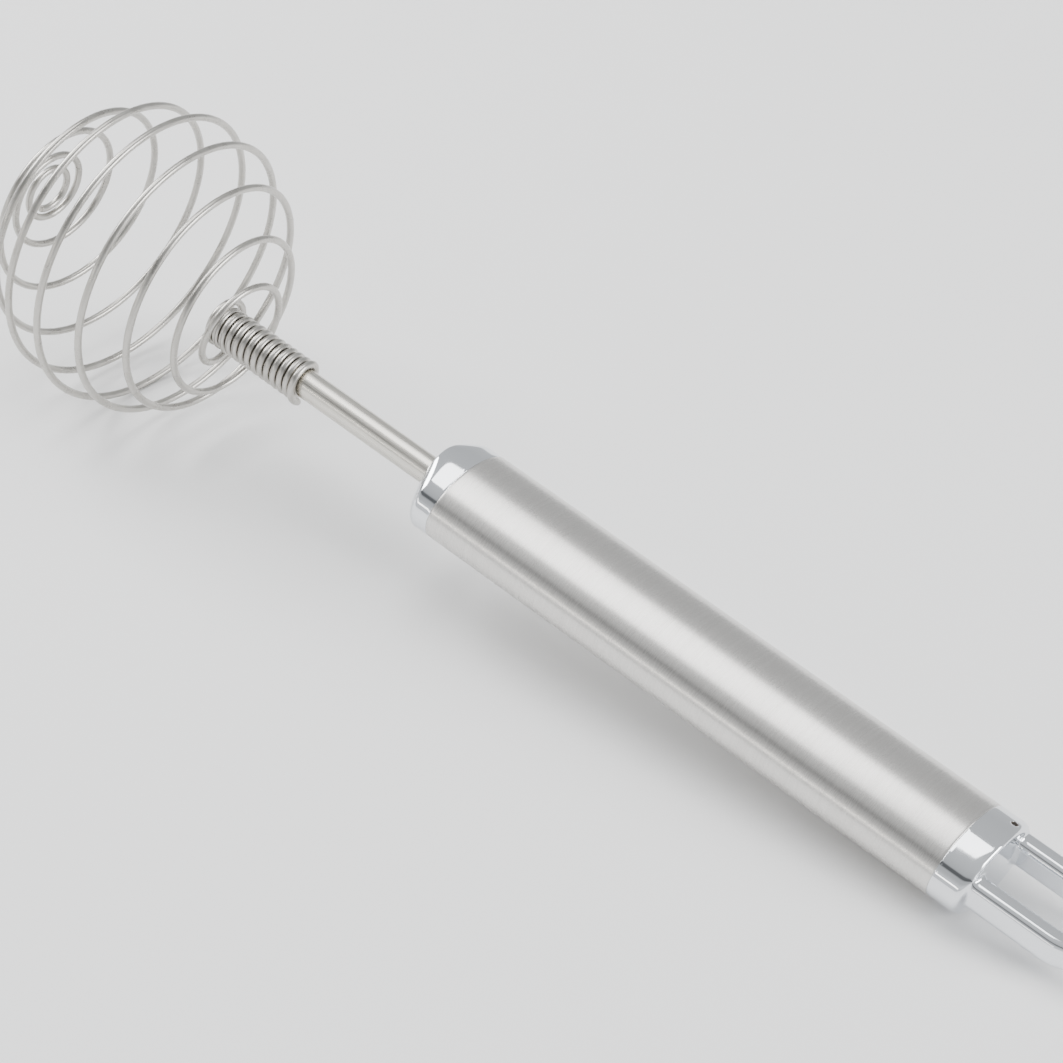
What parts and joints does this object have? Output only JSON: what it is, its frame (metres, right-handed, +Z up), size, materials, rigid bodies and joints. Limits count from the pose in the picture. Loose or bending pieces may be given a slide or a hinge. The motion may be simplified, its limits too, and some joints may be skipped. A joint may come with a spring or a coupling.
{
  "type": "egg beater",
  "caption": "Hand whisk: a springy open ball of coiled wire on a steel rod, an oval brushed steel grip, chrome end caps and a hanging loop.",
  "frame": {"origin": "middle of the oval grip tube, on its axis", "axes": "+X towards the wire ball, +Y across the hanging loop, +Z up, square to the oval's wide side"},
  "size_m": [0.2696, 0.064, 0.064],
  "materials": {
    "whisk_wire": "satin drawn stainless spring wire",
    "polished_rod": "polished stainless rod, slightly warm",
    "brushed_tube": "brushed across its length",
    "chrome_cap": "bright chrome plating on die-cast zinc",
    "zinc_hardware": "zinc-plated steel"
  },
  "bodies": {
    "handle": {"handle_tube": "brushed_tube", "front_cap": "chrome_cap", "rear_cap": "chrome_cap", "shank_rod": "polished_rod", "neck_coil": "whisk_wire", "washer": "zinc_hardware", "retaining_nut": "zinc_hardware"},
    "head": {"whisk_ball": "whisk_wire"}
  },
  "joints": [
    {"name": "head_flex", "type": "hinge", "parent": "handle", "child": "head", "pos_m": [0.12528, 0, 0], "axis": [0, 1, 0], "range_deg": [-8, 8], "stiffness_Nm_per_rad": 0.8}
  ]
}
